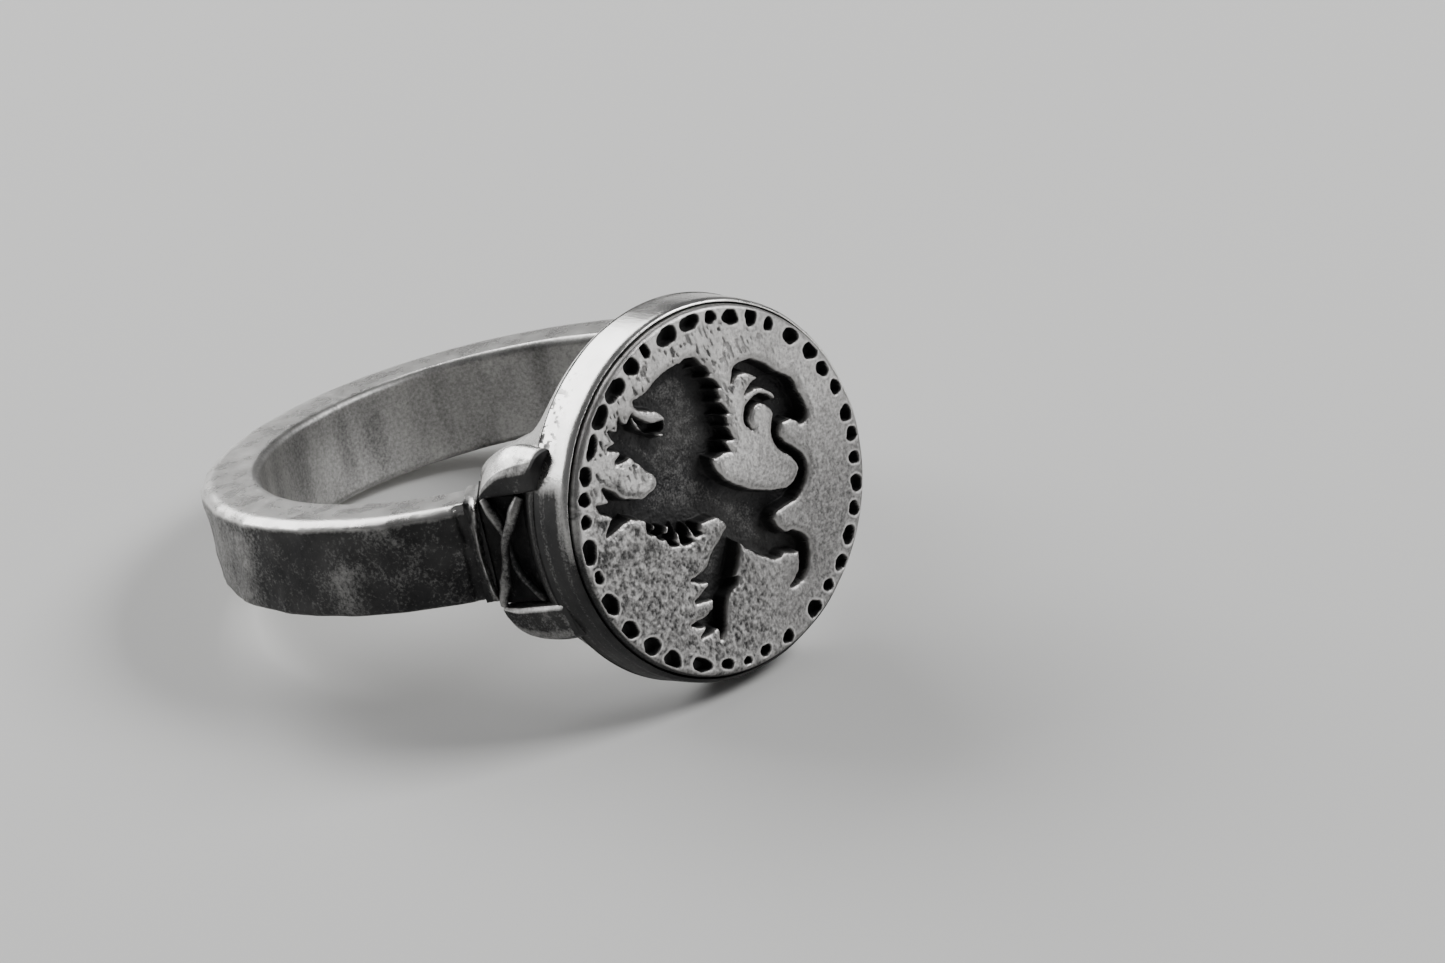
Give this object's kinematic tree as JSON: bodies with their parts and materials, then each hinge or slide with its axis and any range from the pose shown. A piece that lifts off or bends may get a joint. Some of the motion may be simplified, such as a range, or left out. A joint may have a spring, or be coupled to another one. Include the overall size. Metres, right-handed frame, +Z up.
{
  "type": "signet ring",
  "caption": "Round-faced silver signet ring with a sunk heraldic lion, a pitted border, bevelled shoulder caps and a flat hammered band.",
  "frame": {"origin": "on the floor under the middle of the ring's bounding box, with the ring lying as it rests on a level surface: on the lower edge of its round head and the lower edge of the back of its band", "axes": "+X from the back of the band towards the seal, +Y towards the ring's left shoulder as seen from the finger looking at the seal's back with +Z up, +Z up; the seal face looks along +X tipped up by 13.5 degrees, and the finger hole's axis is tipped back from +Z by the same angle; the ring is symmetric about Y = 0 except for the emblem and the crossing of the strands"},
  "size_m": [0.0286, 0.025, 0.0159],
  "materials": {
    "polished_silver": "polished sterling silver with fine scratches, roughness about 0.22",
    "worn_silver": "lightly hammered, worn sterling silver with dark patina in the hollows, roughness about 0.36",
    "frosted_silver": "fine sand-textured sterling silver with smooth border and blackened sunk parts, roughness about 0.45",
    "oxidised_silver": "blackened, oxidised silver in the recess, roughness about 0.5"
  },
  "bodies": {
    "root": {"shank_band": "worn_silver", "head_body": "polished_silver", "bezel_hoop": "polished_silver", "seal_plate": "frosted_silver", "collar_rib_right": "worn_silver", "shoulder_panel_right": "oxidised_silver", "shoulder_cap_upper_right": "polished_silver", "shoulder_cap_lower_right": "polished_silver", "cross_strand_under_right": "worn_silver", "cross_strand_over_right": "worn_silver", "collar_rib_left": "worn_silver", "shoulder_panel_left": "oxidised_silver", "shoulder_cap_upper_left": "polished_silver", "shoulder_cap_lower_left": "polished_silver", "cross_strand_under_left": "worn_silver", "cross_strand_over_left": "worn_silver"}
  },
  "joints": []
}
